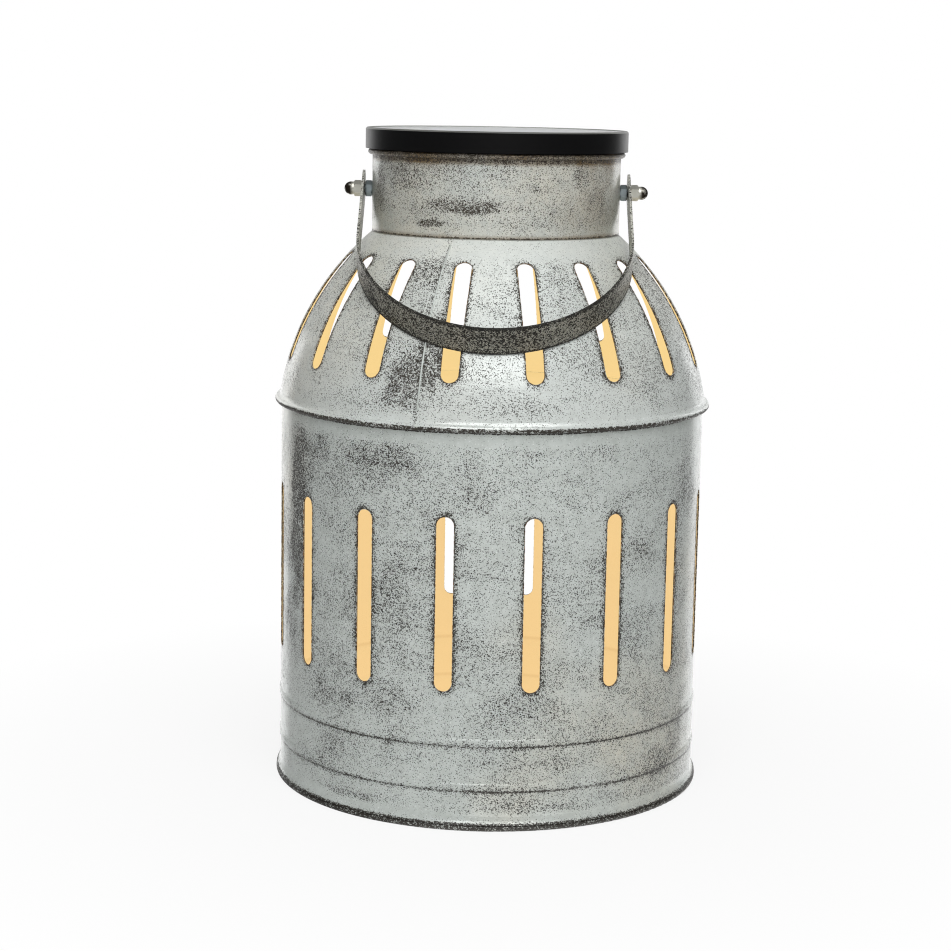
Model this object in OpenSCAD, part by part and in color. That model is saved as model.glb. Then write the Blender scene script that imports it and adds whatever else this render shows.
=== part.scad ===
// Milk-churn lantern: a pierced sheet-metal churn with a strap bail and a
// lift-out solar light unit in its neck.
// Millimetres, +Z up, the front is -Y, the origin is the centre of the foot.

/* [Sheet metal] */
// Thickness of the zinc-coated sheet
sheet = 0.7; // [0.5:0.1:1.1]
// Gap left between two folded sheets in a seam
seam_gap = 0.15; // [0.1:0.05:0.2]

/* [Drum] */
// Outer radius of the drum wall
drum_r = 122.2; // [115:0.1:135]
// Height of the seam between drum and shoulder
seam_z = 221.9; // [200:0.1:260]
// Height of the lower swaged ridge
ridge_low_z = 24.1; // [20:0.1:28]
// Height of the upper swaged ridge
ridge_high_z = 49.2; // [42:0.1:60]
// How far a ridge stands out of the wall
ridge_out = 0.7; // [0.4:0.1:1.2]
// Height of a ridge along the wall
ridge_w = 5; // [3:0.5:8]
// How far the foot flares out of the wall
flare_out = 2.2; // [1.5:0.1:3]
// Radius of the flare's curve
flare_r = 6; // [4:0.5:9]

/* [Foot and base plate] */
// Radius of the curled rim that the lantern stands on
rim_r = 1.7; // [1.4:0.1:2.2]
// Height of the base panel above the ground
panel_z = 6; // [5:0.5:9]
// Radius of the stiffening ring pressed into the base panel
panel_ring_r = 88; // [60:1:100]
// Height of that pressed ring
panel_ring_h = 1.5; // [1:0.1:2.5]
// Width of that pressed ring
panel_ring_w = 10; // [8:0.5:14]

/* [Shoulder] */
// Height of the shoulder from the seam to the neck's foot
shoulder_h = 96.7; // [80:0.1:120]
// Radius of the shoulder's curve
shoulder_arc_r = 154; // [140:1:200]
// Radius of the curl round the drum's flange
bead_r = 1.9; // [1.6:0.1:2.4]
// Radius of the curve that turns the shoulder out into the curl
bead_flare_r = 3.5; // [3:0.5:5]
// Height above the seam where that curve starts
bead_flare_h = 4.7; // [4.5:0.1:6]

/* [Slots] */
// Number of slots in each row
slot_count = 16; // [8:1:20]
// Width of every slot
slot_w = 10; // [6:0.5:14]
// Height of the lower end of the drum slots
slot_z = 77.5; // [65:0.5:90]
// Length of the drum slots
slot_len = 96.4; // [60:0.1:120]
// Height of the lower end of the shoulder slots, above the seam
shoulder_slot_z = 23.5; // [15:0.5:30]
// Length of the shoulder slots along the metal
shoulder_slot_len = 71; // [45:0.5:80]
// Turn of the shoulder slots against the drum slots
shoulder_slot_turn = 0; // [0:0.5:10]

/* [Neck] */
// Outer radius of the neck
neck_r = 71; // [60:0.5:80]
// Height of the neck from its foot to the top of its rolled rim
neck_h = 46.4; // [42:0.1:60]
// Radius of the rolled rim
neck_bead_r = 1.6; // [1.2:0.1:2]
// Height of the shoulder's upstand inside the neck
upstand_h = 6; // [4:0.5:9]
// Depth of the bail's pivot below the rolled rim
pivot_drop = 23; // [20:0.5:28]

/* [Pivot hardware] */
// Diameter of the pivot bolts
bolt_d = 5; // [4:0.5:6]
// Width across the flats of the nuts
nut_flats = 8; // [7.5:0.5:10]
// Thickness of the hex nuts
nut_h = 4; // [3:0.1:5]
// Height of the hexagon of the acorn nuts
acorn_hex_h = 4.5; // [3:0.1:6]
// Radius of the dome of the acorn nuts
acorn_dome_r = 3.75; // [3.3:0.05:4]
// Straight length between the hexagon and the dome's round end
acorn_neck_h = 1.75; // [1:0.05:3]
// Radius of the bolt heads
head_r = 4.75; // [4:0.05:6]
// Thickness of the bolt heads
head_h = 3.2; // [2:0.1:4]

/* [Bail] */
// Width of the strap
bail_w = 17; // [12:0.5:22]
// Thickness of the strap
bail_t = 1.3; // [1:0.1:2]
// Straight length of a leg below the pivot
leg_len = 57; // [50:1:70]
// Height of the arch below the straight legs
arch_h = 82; // [75:1:95]
// Distance from the pivot to the centre of the round strap end
bail_end = 3.7; // [2:0.1:6]
// Play of the strap on each side
bail_play = 0.35; // [0.3:0.05:0.6]
// Diameter clearance of the strap's holes on the bolts
pivot_clear = 0.15; // [0.1:0.01:0.2]
// Gap between the resting strap and the shoulder
rest_gap = 0.3; // [0.2:0.05:0.5]

/* [Light unit] */
// How far the cap stands out past the neck
cap_over = 4; // [3.5:0.1:4.2]
// Height of the cap's band
cap_h = 11.7; // [10.5:0.1:16]
// Wall thickness of the mouldings
wall = 2; // [1.6:0.1:2.2]
// Thickness of the clear cover plate
cover_t = 2.6; // [2:0.1:3]
// How deep the clear plate lies below the band's edge
cover_drop = 0.4; // [0.2:0.1:0.8]
// Depth of the skirt that plugs into the neck
skirt_h = 8; // [6:0.5:10]
// Clearance round the skirt
skirt_gap = 0.6; // [0.3:0.1:1]
// Outer radius of the electronics box
box_r = 52; // [51:0.5:54]
// Height of the electronics box below the deck
box_h = 22; // [21:0.5:24]
// Thickness of the lower cover
lower_t = 2.5; // [2.2:0.1:3]
// Side of the square solar panel
panel_side = 84; // [60:1:90]
// Thickness of the panel's board
panel_t = 1.2; // [1:0.1:1.4]
// Thickness of a solar cell
cell_t = 0.4; // [0.3:0.1:0.6]
// Number of solar cells
cell_count = 4; // [2:1:8]
// Diameter of the battery
battery_d = 14.5; // [10:0.5:14.5]
// Length of the battery
battery_l = 50.5; // [44:0.5:50.5]
// Width of the circuit board
board_w = 44; // [40:1:48]
// Length of the circuit board
board_l = 36; // [34:1:38]
// Thickness of the circuit board
board_t = 1.6; // [1:0.1:2]
// Height of the circuit board above the box's floor
board_lift = 5; // [4.5:0.1:6]
// Outer radius of the diffuser
diffuser_r = 11; // [8:0.5:11.5]
// Wall thickness of the diffuser
diffuser_t = 1.4; // [1:0.1:1.8]
// Length of the cover screws below their heads
screw_l = 9; // [7:0.5:11]
// Travel of the switch knob
switch_travel = 3; // [2:0.5:4]

/* [Hidden] */
$fn = 128;
big = 400;
past = 1;            // how far a cutter runs past what it cuts
punch = 10;          // reach of the slot cutters to each side of the sheet
seat = 0.3;          // gap between the lifting unit and what carries it
touch = 0.05;        // gap between two pieces that are pressed together
wall_clear = 0.2;    // gap between the drum's wall and the sheets folded round it
curl_lap = 0.3;      // how far a flare runs into its curl

// Drum, foot and seam
drum_in = drum_r - sheet;
flare_dz = sqrt(pow(flare_r, 2) - pow(flare_r - flare_out, 2));
flare_end_z = 2 * rim_r + seam_gap;
base_wall_r = drum_in - wall_clear;
rim_x = base_wall_r + rim_r - wall_clear / 2;
bead_x = drum_r + bead_r - seam_gap;
flange_r = bead_x + bead_r - sheet - 2 * seam_gap;

// Shoulder: an arc of shoulder_arc_r through the top of the flare and the neck's foot
neck_in = neck_r - sheet;
neck_z = seam_z + shoulder_h;
shoulder_out = 0.6;  // how far outside the drum the arc starts
arc_low = [drum_r + shoulder_out, seam_z + bead_flare_h];
arc_high = [neck_in, neck_z];
arc_chord = norm(arc_high - arc_low);
arc_dir = (arc_high - arc_low) / arc_chord;
arc_back = sqrt(pow(shoulder_arc_r, 2) - pow(arc_chord / 2, 2));
arc_c = (arc_low + arc_high) / 2 + arc_back * [-arc_dir.y, arc_dir.x];
function arc_radius_at(z) = arc_c.x + sqrt(pow(shoulder_arc_r, 2) - pow(z - arc_c.y, 2));
arc_steps = 24;
arc_from = asin((arc_low.y - arc_c.y) / shoulder_arc_r);
arc_to = asin((arc_high.y - arc_c.y) / shoulder_arc_r);
function arc_point(radius, part) =
    let (a = arc_from + (arc_to - arc_from) * part) arc_c + radius * [cos(a), sin(a)];
upstand_r = neck_in - 2 * touch;
upstand_root = 1.2;  // how far the upstand runs down into the domed sheet

// Neck and pivots
rim_z = neck_z + neck_h;
pivot_z = rim_z - pivot_drop;
nut_face = neck_r + touch + nut_h;
cap_r = neck_r + cap_over;
bail_in = max(nut_face, cap_r) + bail_play;
bail_half = bail_in + bail_t / 2;
acorn_x = bail_in + bail_t + bail_play;
acorn_h = acorn_hex_h + acorn_neck_h + acorn_dome_r;
head_face = sqrt(pow(neck_in, 2) - pow(head_r, 2)) - touch;
bolt_end = acorn_x + acorn_hex_h + acorn_neck_h + seat;
head_edge = 1;       // height of the bolt heads' chamfer
hole_clear = 0.2;    // diameter clearance of the neck's holes on the bolts

// Bail: legs and half an ellipse, in the strap's own plane
arch_steps = 40;
function arch_pts(half, rise) =
    [for (i = [0 : arch_steps]) let (a = 180 * i / arch_steps) [half * cos(a), -leg_len - rise * sin(a)]];
// Lean of the bail from straight down, so that its inner edge rests on the shoulder
function edge_gap(lean) =
    min([for (p = arch_pts(bail_in, arch_h - bail_t / 2))
        let (y = p.y * sin(lean) + bail_w / 2 * cos(lean),
             z = pivot_z + p.y * cos(lean) - bail_w / 2 * sin(lean),
             r = norm([p.x, y]))
        norm([r, z] - arc_c) - shoulder_arc_r]);
function lean_between(lo, hi, n) =
    n == 0 ? hi
    : edge_gap((lo + hi) / 2) > rest_gap ? lean_between(lo, (lo + hi) / 2, n - 1)
    : lean_between((lo + hi) / 2, hi, n - 1);
bail_lean = lean_between(30, 100, 24);

// Light unit, from its seat on the neck upwards and downwards
cap_z = rim_z + seat;
cap_top = cap_z + cap_h;
plate_top = cap_top - cover_drop;
band_edge = 0.8;     // chamfer of the band's top edge
ledge_w = 2.8;       // width of the ledge that carries the clear plate
plate_gap = 0.15;    // gap round the clear plate
plate_r = cap_r - wall - 0.6;
seal_t = 0.5;
ledge_z = plate_top - cover_t - seal_t;
deck_top = ledge_z - panel_t - cell_t - 0.9;
deck_z = deck_top - wall;
box_in = box_r - wall;
box_z = deck_z - box_h;
lower_z = box_z - touch - lower_t;
floor_z = lower_z + lower_t;
skirt_r = neck_in - skirt_gap;
rib_t = 1.6;
boss_r = 3.5;
boss_ring = box_in - boss_r + 0.3;
pilot_l = screw_l + 4;
lip_t = 1.2;
lip_h = 2.5;
board_y = 12;
board_z = floor_z + board_lift;
chip_size = [6, 5, 1.6];
coil_r = 3.2;
coil_h = 5;
post_r = 2.5;
post_in = 10;        // distance of the board's posts from its rear edge
battery_y = -22;
battery_cap = 1.2;   // length of the battery's positive end cap
battery_tip_r = 2.75;
battery_z = floor_z + battery_d / 2 + 2.7;
contact_x = battery_l / 2 + 0.7;
contact_t = 0.4;
contact_w = 10;
wire_r = 0.6;
wire_start = [contact_x - wire_r - touch, battery_y + battery_d / 2 + wire_r - touch];
wire_end = [board_w / 2 - 5, 2];
wire_y = 12;
panel_wire_x = 1.4;
led_r = 2.5;
led_leg_x = 1.27;
led_leg_r = 0.3;
led_out = 3;         // how far the round of the lens lies below the box's floor
led_body = 5.2;
led_flange_r = 2.9;
switch_y = 22;
switch_size = [11, 5, 4];
knob_w = 3;
knob_d = 2;
knob_gap = 0.2;      // gap between the knob's stem and the switch case
pad_h = 1.2;
pad_gap = 0.4;       // gap between the knob's pad and the lower cover
knob_stem_top = board_z - 2;
grip_w = 0.5;
cell_gap = 2;
cell_edge = 3;
screw_r = 1.25;
screw_head_r = 2.6;
screw_head_h = 1.3;
screw_sink = 1.4;

// Ring of a round wire or curl: a tube section in the plane of the profile
module curl_section(centre, radius) {
    translate(centre)
    difference() {
        circle(radius);
        circle(radius - sheet);
    }
}

// Quarter of a curve that turns a wall outwards towards its lower end
module flare_section(wall_r, top_z, radius, end_z) {
    intersection() {
        translate([wall_r + radius, top_z])
        difference() {
            circle(radius + sheet);
            circle(radius);
        }
        translate([wall_r - sheet, end_z])
        square([radius + sheet, top_z - end_z]);
    }
}

// A round bump of the given height and width that follows a straight wall along Y
module bump_disc(out, width, shift) {
    bump_r = (pow(width / 2, 2) + pow(out, 2)) / (2 * out);
    translate([out - bump_r - shift, 0])
    circle(bump_r);
}

// Outline of a slot with round ends, centred, length along Y
module slot_outline(length) {
    straight = length - slot_w;
    square([slot_w, straight], center = true);
    for (s = [-1, 1])
        translate([0, s * straight / 2])
        circle(slot_w / 2);
}

module base_plate() {
    color("silver")
    rotate_extrude() {
        difference() {
            union() {
                translate([0, panel_z])
                square([base_wall_r, sheet]);
                intersection() {
                    translate([panel_ring_r, panel_z + sheet])
                    rotate(90)
                    bump_disc(panel_ring_h, panel_ring_w, 0);
                    translate([panel_ring_r - panel_ring_w, panel_z])
                    square([2 * panel_ring_w, panel_ring_w]);
                }
            }
            translate([panel_ring_r, panel_z + sheet])
            rotate(90)
            bump_disc(panel_ring_h, panel_ring_w, sheet);
        }
        translate([base_wall_r - sheet, 0])
        square([sheet, panel_z + sheet]);
        translate([base_wall_r - sheet, 0])
        square([rim_x - base_wall_r + sheet, sheet]);
        curl_section([rim_x, rim_r], rim_r);
    }
}

module drum_profile() {
    wall_low = flare_end_z + flare_dz;
    difference() {
        union() {
            translate([drum_in, wall_low])
            square([sheet, seam_z + sheet / 2 - wall_low]);
            for (z = [ridge_low_z, ridge_high_z])
                intersection() {
                    translate([drum_r, z])
                    bump_disc(ridge_out, ridge_w, 0);
                    translate([drum_in, z - ridge_w])
                    square([ridge_w, 2 * ridge_w]);
                }
        }
        for (z = [ridge_low_z, ridge_high_z])
            translate([drum_r, z])
            bump_disc(ridge_out, ridge_w, sheet);
    }
    translate([drum_in, seam_z - sheet / 2])
    square([flange_r - drum_in, sheet]);
    flare_section(drum_r, wall_low, flare_r, flare_end_z);
}

module body_drum() {
    color("lightslategray")
    difference() {
        rotate_extrude()
        drum_profile();
        for (i = [0 : slot_count - 1])
            rotate([0, 0, 360 * (i + 0.5) / slot_count - 90])
            translate([drum_r - punch, 0, slot_z + slot_len / 2])
            rotate([90, 0, 90])
            linear_extrude(2 * punch)
            slot_outline(slot_len);
    }
}

module shoulder_profile() {
    flare_start = [arc_radius_at(seam_z + bead_flare_h), seam_z + bead_flare_h];
    // the domed sheet, from the flare up to the upstand
    polygon(concat(
        [for (i = [0 : arc_steps]) arc_point(shoulder_arc_r, i / arc_steps)],
        [for (i = [arc_steps : -1 : 0]) arc_point(shoulder_arc_r - sheet, i / arc_steps)]));
    // its edge, turned out and curled round the drum's flange
    flare_section(flare_start.x, flare_start.y, bead_flare_r, seam_z + bead_r - curl_lap);
    difference() {
        curl_section([bead_x, seam_z], bead_r);
        translate([0, seam_z - sheet / 2 - seam_gap])
        square([flange_r + seam_gap, sheet + 2 * seam_gap]);
        translate([0, seam_z - big])
        square([drum_r + wall_clear, big]);
    }
    // the upstand that fits inside the neck
    translate([upstand_r - sheet, neck_z - upstand_root])
    square([sheet, upstand_h + upstand_root]);
}

module shoulder_dome() {
    slot_low = arc_radius_at(seam_z + shoulder_slot_z);
    low_angle = acos((slot_low - arc_c.x) / shoulder_arc_r);
    span_angle = 2 * asin(shoulder_slot_len / 2 / shoulder_arc_r);
    mid_angle = low_angle + span_angle / 2;
    mid_r = shoulder_arc_r * cos(span_angle / 2);
    color("lightslategray")
    difference() {
        rotate_extrude()
        shoulder_profile();
        for (i = [0 : slot_count - 1])
            rotate([0, 0, 360 * (i + 0.5) / slot_count - 90 + shoulder_slot_turn])
            translate([arc_c.x, 0, arc_c.y])
            rotate([0, -mid_angle, 0])
            translate([mid_r - punch, 0, 0])
            rotate([90, 0, 90])
            linear_extrude(2 * punch)
            slot_outline(shoulder_slot_len);
    }
}

module neck_collar() {
    color("lightslategray")
    difference() {
        rotate_extrude() {
            translate([neck_in, neck_z + seam_gap])
            square([sheet, neck_h - neck_bead_r - seam_gap]);
            curl_section([neck_in + neck_bead_r, rim_z - neck_bead_r], neck_bead_r);
        }
        translate([-big / 2, 0, pivot_z])
        rotate([0, 90, 0])
        cylinder(h = big, d = bolt_d + hole_clear);
    }
}

// Places a piece that is drawn along +X on both pivots
module at_pivots() {
    for (turn = [0, 180])
        rotate([0, 0, turn])
        translate([0, 0, pivot_z])
        rotate([0, 90, 0])
        children();
}

module pivot_bolts() {
    color("lightsteelblue")
    at_pivots() {
        translate([0, 0, head_face - head_h + head_edge])
        cylinder(h = head_h - head_edge, r = head_r);
        translate([0, 0, head_face - head_h])
        cylinder(h = head_edge, r1 = head_r - head_edge, r2 = head_r);
        translate([0, 0, head_face])
        cylinder(h = bolt_end - head_face, d = bolt_d);
    }
}

// Hexagon with its corners taken off by a cone, standing on Z = 0
module hexagon(height, chamfer_low) {
    corner = nut_flats / 2 / cos(30);
    cut = corner - nut_flats / 2;
    intersection() {
        cylinder(h = height, r = corner, $fn = 6);
        union() {
            cylinder(h = height - cut, r = corner);
            translate([0, 0, height - cut])
            cylinder(h = cut, r1 = corner, r2 = corner - cut);
        }
        union() {
            translate([0, 0, chamfer_low ? cut : 0])
            cylinder(h = height, r = corner);
            cylinder(h = cut, r1 = corner - cut, r2 = corner);
        }
    }
}

module neck_nuts() {
    color("lightsteelblue")
    at_pivots()
    translate([0, 0, neck_r + touch])
    difference() {
        hexagon(nut_h, true);
        translate([0, 0, -past])
        cylinder(h = nut_h + 2 * past, d = bolt_d + 2 * touch);
    }
}

module acorn_nuts() {
    color("gainsboro")
    at_pivots()
    translate([0, 0, acorn_x])
    difference() {
        union() {
            hexagon(acorn_hex_h, true);
            cylinder(h = acorn_hex_h + acorn_neck_h, r = acorn_dome_r);
            translate([0, 0, acorn_hex_h + acorn_neck_h])
            sphere(acorn_dome_r);
        }
        translate([0, 0, -past])
        cylinder(h = bolt_end - acorn_x + past + seat, d = bolt_d + 2 * touch);
    }
}

module bail_strap() {
    end_z = bail_end;
    outer = arch_pts(bail_half + bail_t / 2, arch_h + bail_t / 2);
    inner = arch_pts(bail_half - bail_t / 2, arch_h - bail_t / 2);
    top = end_z + bail_w / 2;
    outline = concat([[bail_half + bail_t / 2, top]], outer, [[-bail_half - bail_t / 2, top]],
                     [[-bail_half + bail_t / 2, top]], [for (i = [arch_steps : -1 : 0]) inner[i]],
                     [[bail_half - bail_t / 2, top]]);
    color("dimgray")
    translate([0, 0, pivot_z])
    rotate([-bail_lean, 0, 0])
    difference() {
        intersection() {
            rotate([90, 0, 0])
            linear_extrude(bail_w, center = true)
            polygon(outline);
            union() {
                translate([-big / 2, -bail_w / 2, end_z - big])
                cube([big, bail_w, big]);
                translate([-big / 2, 0, end_z])
                rotate([0, 90, 0])
                cylinder(h = big, d = bail_w);
            }
        }
        translate([-big / 2, 0, 0])
        rotate([0, 90, 0])
        cylinder(h = big, d = bolt_d + pivot_clear);
    }
}

module cap_profile() {
    difference() {
        // the band with its eased top edge
        polygon([[0, deck_z], [box_in, deck_z], [skirt_r - wall, deck_z], [skirt_r - wall, cap_z],
                 [cap_r, cap_z], [cap_r, cap_top - band_edge], [cap_r - band_edge, cap_top],
                 [0, cap_top]]);
        // the recess for the panel and the clear plate
        translate([-past, deck_top])
        square([plate_r - ledge_w + past, big]);
        translate([-past, ledge_z])
        square([plate_r + plate_gap + past, big]);
    }
    translate([skirt_r - wall, cap_z - skirt_h])
    square([wall, skirt_h + wall / 2]);
    translate([box_in, box_z])
    square([wall, box_h + wall / 2]);
}

module at_bosses() {
    for (a = [45 : 90 : 315])
        rotate([0, 0, a])
        translate([boss_ring, 0, 0])
        children();
}

module cap_housing() {
    rib_h = skirt_h - 2;
    rib_l = skirt_r - box_r - wall;
    color([0.1, 0.1, 0.1])
    difference() {
        union() {
            rotate_extrude()
            cap_profile();
            for (a = [22.5 : 45 : 337.5])
                rotate([0, 0, a])
                translate([box_r - wall / 4, -rib_t / 2, deck_z - rib_h])
                cube([rib_l + wall / 2, rib_t, rib_h + wall / 4]);
            at_bosses()
            translate([0, 0, box_z])
            cylinder(h = box_h + wall / 4, r = boss_r);
        }
        at_bosses()
        translate([0, 0, box_z - past])
        cylinder(h = pilot_l, r = screw_r + touch);
        translate([0, wire_y, deck_z - past])
        cylinder(h = wall + 2 * past, r = panel_wire_x + 2 * wire_r + seat);
    }
}

module clear_cover() {
    color([0.8, 0.85, 0.9, 0.4])
    translate([0, 0, plate_top - cover_t])
    cylinder(h = cover_t, r = plate_r);
}

module cover_seal() {
    color("gray")
    translate([0, 0, ledge_z])
    difference() {
        cylinder(h = seal_t, r = plate_r - 2 * touch);
        translate([0, 0, -past])
        cylinder(h = seal_t + 2 * past, r = plate_r - ledge_w + 0.5);
    }
}

module panel_board() {
    color("midnightblue")
    translate([-panel_side / 2, -panel_side / 2, deck_top])
    cube([panel_side, panel_side, panel_t]);
}

module solar_cells() {
    pitch = (panel_side - cell_gap) / cell_count;
    color("navy")
    for (i = [0 : cell_count - 1])
        translate([-panel_side / 2 + cell_edge, -panel_side / 2 + cell_gap + i * pitch, deck_top + panel_t])
        cube([panel_side - 2 * cell_edge, pitch - cell_gap, cell_t]);
}

module panel_wires() {
    color("red")
    for (x = [-panel_wire_x, panel_wire_x])
        translate([x, wire_y, board_z + board_t])
        cylinder(h = deck_top - board_z - board_t, r = wire_r);
}

module circuit_board() {
    color("darkgreen")
    difference() {
        translate([-board_w / 2, board_y - board_l / 2, board_z])
        cube([board_w, board_l, board_t]);
        for (x = [-led_leg_x, led_leg_x])
            translate([x, 0, board_z - past])
            cylinder(h = board_t + 2 * past, r = led_leg_r + 2 * touch);
    }
    // charge controller and storage coil
    color([0.08, 0.08, 0.08])
    translate([0, board_y, board_z + board_t]) {
        translate([board_w / 6, 0, 0])
        cube(chip_size);
        translate([-board_w / 3.4, 2, 0])
        cylinder(h = coil_h, r = coil_r);
    }
}

module led() {
    lens_z = floor_z - led_out;
    flange_h = 1;
    leg_top = board_z + board_t + 2 * led_leg_r;
    color("lightyellow")
    translate([0, 0, lens_z]) {
        sphere(led_r);
        cylinder(h = led_body, r = led_r);
        translate([0, 0, led_body])
        cylinder(h = flange_h, r = led_flange_r);
        for (x = [-led_leg_x, led_leg_x])
            translate([x, 0, led_body])
            cylinder(h = leg_top - lens_z - led_body, r = led_leg_r);
    }
}

module diffuser() {
    bowl_z = lower_z - 2;
    flange_z = floor_z + touch;
    flange_h = 1.2;
    flange_w = 2;
    color("ivory")
    rotate_extrude()
    difference() {
        union() {
            translate([0, bowl_z])
            circle(diffuser_r);
            translate([0, bowl_z])
            square([diffuser_r, flange_z + flange_h - bowl_z]);
            translate([0, flange_z])
            square([diffuser_r + flange_w, flange_h]);
        }
        translate([0, bowl_z])
        circle(diffuser_r - diffuser_t);
        translate([0, bowl_z])
        square([diffuser_r - diffuser_t, big]);
        translate([-big, -big / 2])
        square([big, 2 * big]);
    }
}

// The slot that the knob's stem slides in, from one height to another
module knob_slot(low, high, gap) {
    translate([-(switch_travel + knob_w) / 2 - gap, switch_y - knob_d / 2 - gap, low])
    cube([knob_w + switch_travel + 2 * gap, knob_d + 2 * gap, high - low]);
}

module switch_case() {
    color("lightgray")
    difference() {
        translate([-switch_size.x / 2, switch_y - switch_size.y / 2, board_z - switch_size.z])
        cube(switch_size);
        knob_slot(board_z - switch_size.z - past, knob_stem_top + 2 * knob_gap, knob_gap);
    }
}

module switch_knob() {
    left = -(switch_travel + knob_w) / 2;
    pad_z = lower_z - pad_gap - pad_h;
    pad_edge = 1;
    color("white") {
        translate([left, switch_y - knob_d / 2, pad_z + pad_h / 2])
        cube([knob_w, knob_d, knob_stem_top - pad_z - pad_h / 2]);
        difference() {
            translate([left - pad_edge, switch_y - knob_d / 2 - pad_edge, pad_z])
            cube([knob_w + 2 * pad_edge, knob_d + 2 * pad_edge, pad_h]);
            // finger grooves
            for (part = [0.25, 0.75])
                translate([left + knob_w * part - grip_w / 2, 0, pad_z - grip_w])
                cube([grip_w, big, 2 * grip_w]);
        }
    }
}

module battery() {
    color("seagreen")
    translate([-battery_l / 2, battery_y, battery_z])
    rotate([0, 90, 0]) {
        cylinder(h = battery_l - battery_cap, d = battery_d);
        cylinder(h = battery_l, r = battery_tip_r);
    }
}

module battery_contacts() {
    color("gainsboro")
    for (s = [0, 1])
        mirror([s, 0, 0])
        translate([contact_x, battery_y - contact_w / 2, floor_z + seat])
        cube([contact_t, contact_w / 2 + wire_start.y - battery_y + wire_r, battery_z - floor_z + 4]);
}

module battery_wires() {
    run = wire_end - wire_start;
    color("black")
    for (s = [0, 1])
        mirror([s, 0, 0])
        translate([wire_start.x, wire_start.y, board_z + board_t + wire_r + seat])
        rotate([0, 90, atan2(run.y, run.x)])
        cylinder(h = norm(run), r = wire_r);
}

module lower_cover() {
    root = 0.5;
    cradle_w = battery_d - 3;
    cradle_h = 5;
    wall_x = contact_x + contact_t + touch;
    color([0.12, 0.12, 0.12])
    difference() {
        union() {
            translate([0, 0, lower_z])
            cylinder(h = lower_t, r = box_r);
            // lip that centres the cover in the box
            translate([0, 0, floor_z - root])
            difference() {
                cylinder(h = lip_h + root, r = box_in - seat);
                translate([0, 0, -past])
                cylinder(h = lip_h + root + 2 * past, r = box_in - seat - lip_t);
                at_bosses()
                translate([0, 0, -past])
                cylinder(h = lip_h + root + 2 * past, r = boss_r + seat);
            }
            // cradle and end walls of the battery
            for (x = [-battery_l / 3, battery_l / 3])
                translate([x - rib_t / 2, battery_y - cradle_w / 2, floor_z - root])
                cube([rib_t, cradle_w, cradle_h + root]);
            for (s = [0, 1])
                mirror([s, 0, 0])
                translate([wall_x, battery_y - contact_w / 2 - past, floor_z - root])
                cube([rib_t, contact_w + 2 * past, battery_z - floor_z + 4 + root]);
            // posts under the circuit board
            for (x = [-board_w / 2 + 5, board_w / 2 - 5])
                translate([x, board_y + board_l / 2 - post_in, floor_z - root])
                cylinder(h = board_z - touch - floor_z + root, r = post_r);
        }
        translate([-battery_l / 2, battery_y, battery_z])
        rotate([0, 90, 0])
        cylinder(h = battery_l, d = battery_d + seat);
        translate([0, 0, lower_z - past])
        cylinder(h = lower_t + 2 * past, r = diffuser_r + 0.2);
        knob_slot(lower_z - past, floor_z + past, knob_gap + 0.1);
        at_bosses() {
            translate([0, 0, lower_z - past])
            cylinder(h = lower_t + lip_h + 2 * past, r = screw_r + seat);
            translate([0, 0, lower_z - past])
            cylinder(h = screw_sink + past, r = screw_head_r + seat);
        }
    }
}

module cover_screws() {
    color("silver")
    at_bosses()
    translate([0, 0, lower_z + screw_sink - touch]) {
        translate([0, 0, -screw_head_h])
        cylinder(h = screw_head_h, r = screw_head_r);
        cylinder(h = screw_l, r = screw_r);
    }
}

base_plate();
body_drum();
shoulder_dome();
neck_collar();
pivot_bolts();
neck_nuts();
acorn_nuts();
bail_strap();
cap_housing();
clear_cover();
cover_seal();
panel_board();
solar_cells();
panel_wires();
circuit_board();
led();
diffuser();
switch_case();
switch_knob();
battery();
battery_contacts();
battery_wires();
lower_cover();
cover_screws();
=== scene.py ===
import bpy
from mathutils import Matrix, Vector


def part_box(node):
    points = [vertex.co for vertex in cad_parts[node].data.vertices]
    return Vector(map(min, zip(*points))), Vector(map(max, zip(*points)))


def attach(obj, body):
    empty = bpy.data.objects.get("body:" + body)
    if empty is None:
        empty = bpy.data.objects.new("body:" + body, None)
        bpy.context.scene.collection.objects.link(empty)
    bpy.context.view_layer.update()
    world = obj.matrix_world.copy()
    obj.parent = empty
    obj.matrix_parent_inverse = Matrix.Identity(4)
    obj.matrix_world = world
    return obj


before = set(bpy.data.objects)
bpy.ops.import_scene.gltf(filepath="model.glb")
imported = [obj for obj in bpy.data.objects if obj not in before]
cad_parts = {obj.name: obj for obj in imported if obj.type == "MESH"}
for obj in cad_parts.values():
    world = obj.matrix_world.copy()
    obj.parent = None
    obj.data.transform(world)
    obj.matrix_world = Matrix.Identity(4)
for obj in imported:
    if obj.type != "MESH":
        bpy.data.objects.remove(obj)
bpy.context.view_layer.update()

# %% Libraries, and the sizes that the finishes follow
import math

import bpy
from mathutils import Matrix, Vector

MM = 0.001
drum_r = 122.2 * MM
ridge_heights = [24.1 * MM, 49.2 * MM]
slot_count = 16
slot_pitch = 2 * math.pi / slot_count
slot_w = 10 * MM
slot_low = 77.5 * MM
slot_len = 96.4 * MM
seam_z = 221.9 * MM
# The shoulder's section is an arc; its centre is given as a radius and a height.
arc_centre = (-29.045 * MM, 200.929 * MM)
arc_r = 154 * MM
shoulder_slot_low = 23.5 * MM
shoulder_slot_len = 71 * MM
shoulder_seam = math.radians(-19)
neck_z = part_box("neck_collar")[0].z
neck_r = 71 * MM
rim_top = 377 * MM
pivot_z = 342 * MM
bail_lean = math.radians(58.05)
print("the neck stands", round(neck_z / MM, 1), "mm above the ground")

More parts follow.
